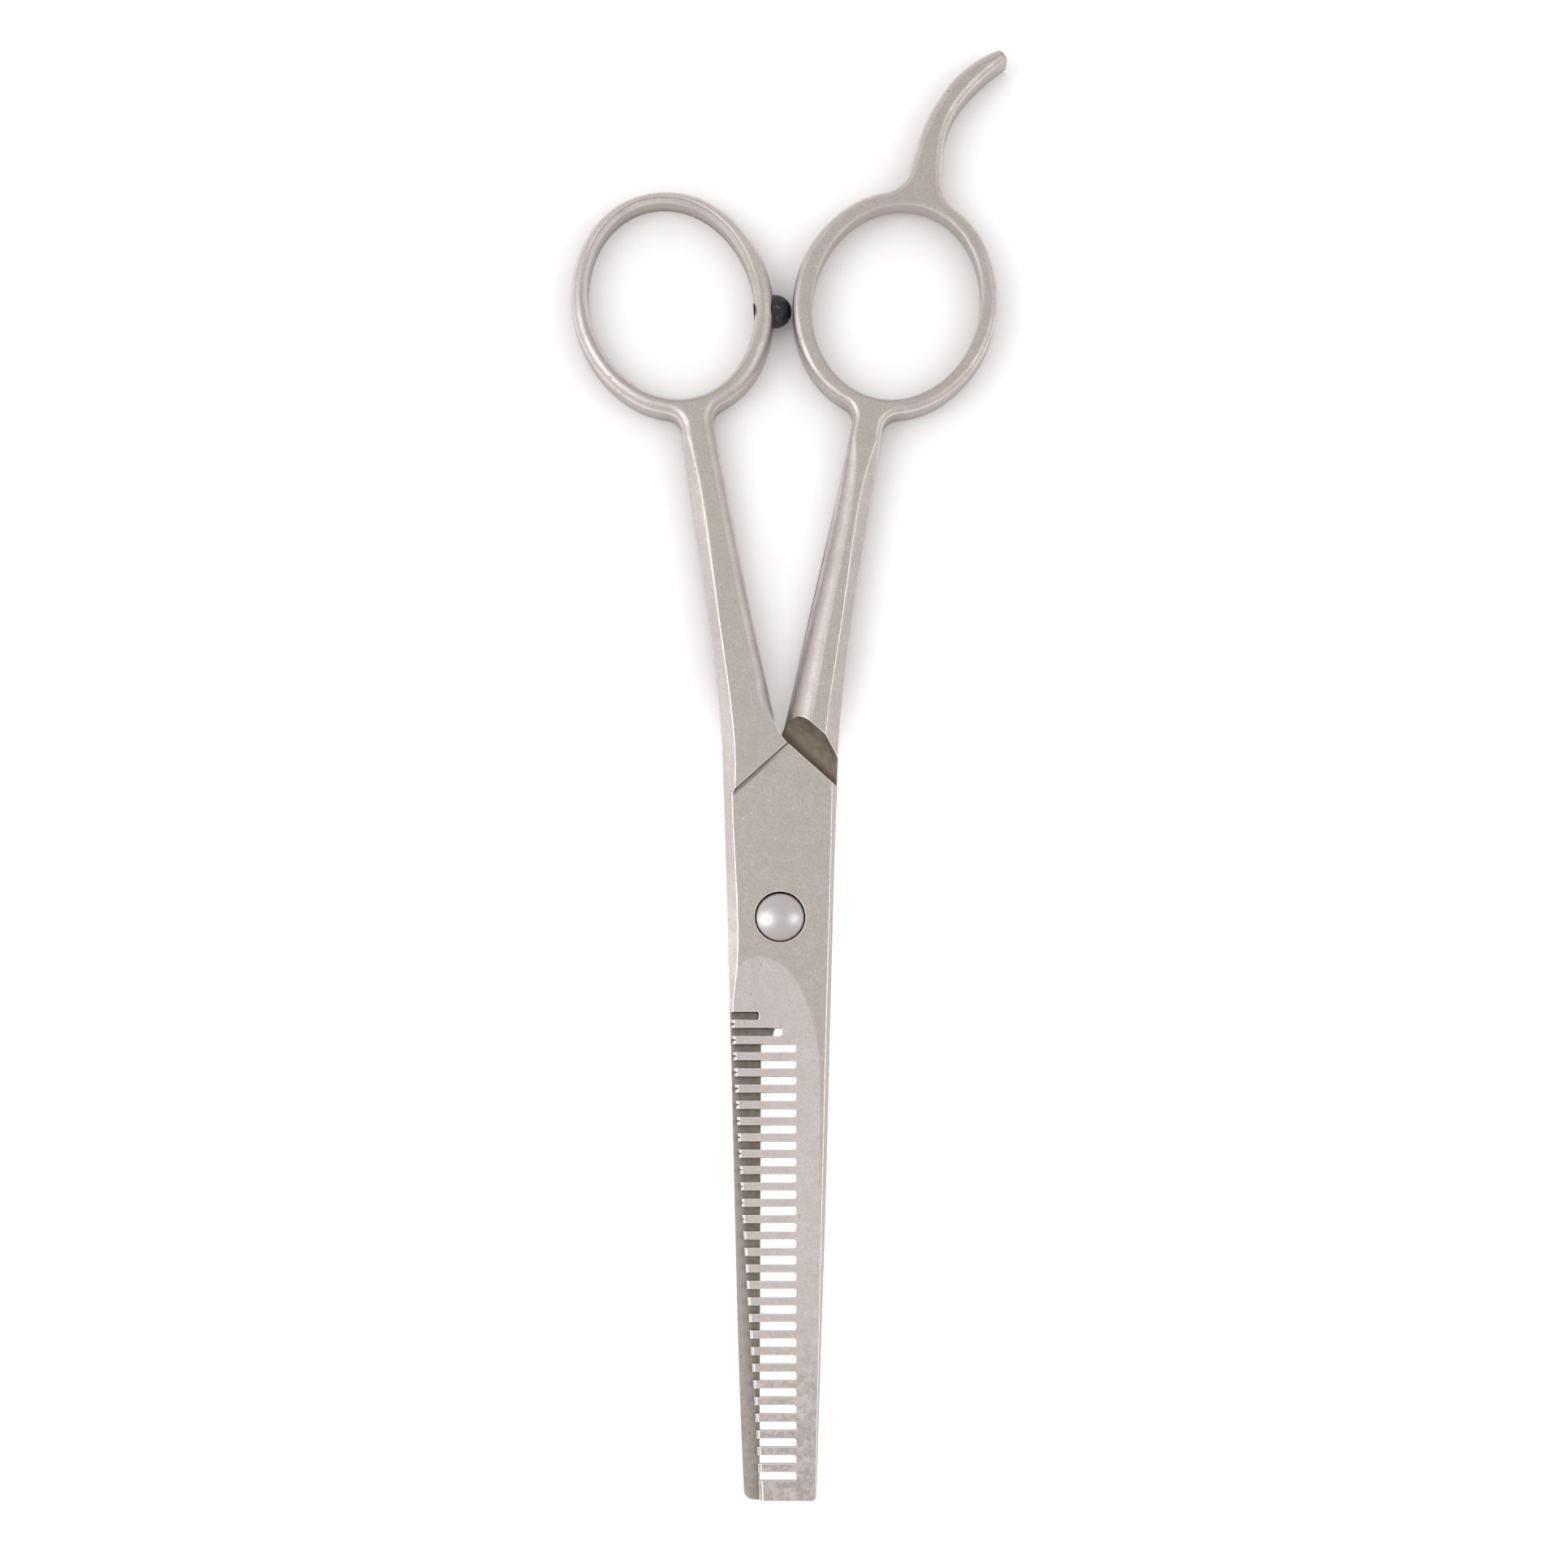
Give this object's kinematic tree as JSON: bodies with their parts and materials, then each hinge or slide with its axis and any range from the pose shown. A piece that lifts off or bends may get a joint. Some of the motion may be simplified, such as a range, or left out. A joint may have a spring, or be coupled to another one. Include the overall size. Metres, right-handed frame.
{
  "type": "thinning shears",
  "caption": "Hairdresser's thinning shears with a comb-toothed blade, a straight blade, oval finger rings, a hooked finger rest and a rubber stop.",
  "frame": {"origin": "on the pivot axis, in the plane that the closed shears lie on", "axes": "+Y from the blade tips to the finger rings, +Z out of the toothed side along the pivot, +X towards the finger ring with the finger rest"},
  "size_m": [0.0559, 0.183, 0.0052],
  "materials": {
    "satin_steel": "fine satin, bead blasted, with brighter ground bevels and worn edges",
    "polished_steel": "polished",
    "washer_plastic": "plain",
    "stop_rubber": "matte, scuffed grey in patches"
  },
  "bodies": {
    "straight_half": {"straight_blade": "satin_steel", "pivot_nut": "polished_steel", "pivot_screw": "polished_steel", "pivot_washer": "washer_plastic"},
    "toothed_half": {"toothed_blade": "satin_steel", "rubber_stop": "stop_rubber"}
  },
  "joints": [
    {"name": "blade_pivot", "type": "hinge", "parent": "straight_half", "child": "toothed_half", "pos_m": [0, 0, 0.0024], "axis": [0, 0, 1], "range_deg": [0, 90]}
  ]
}
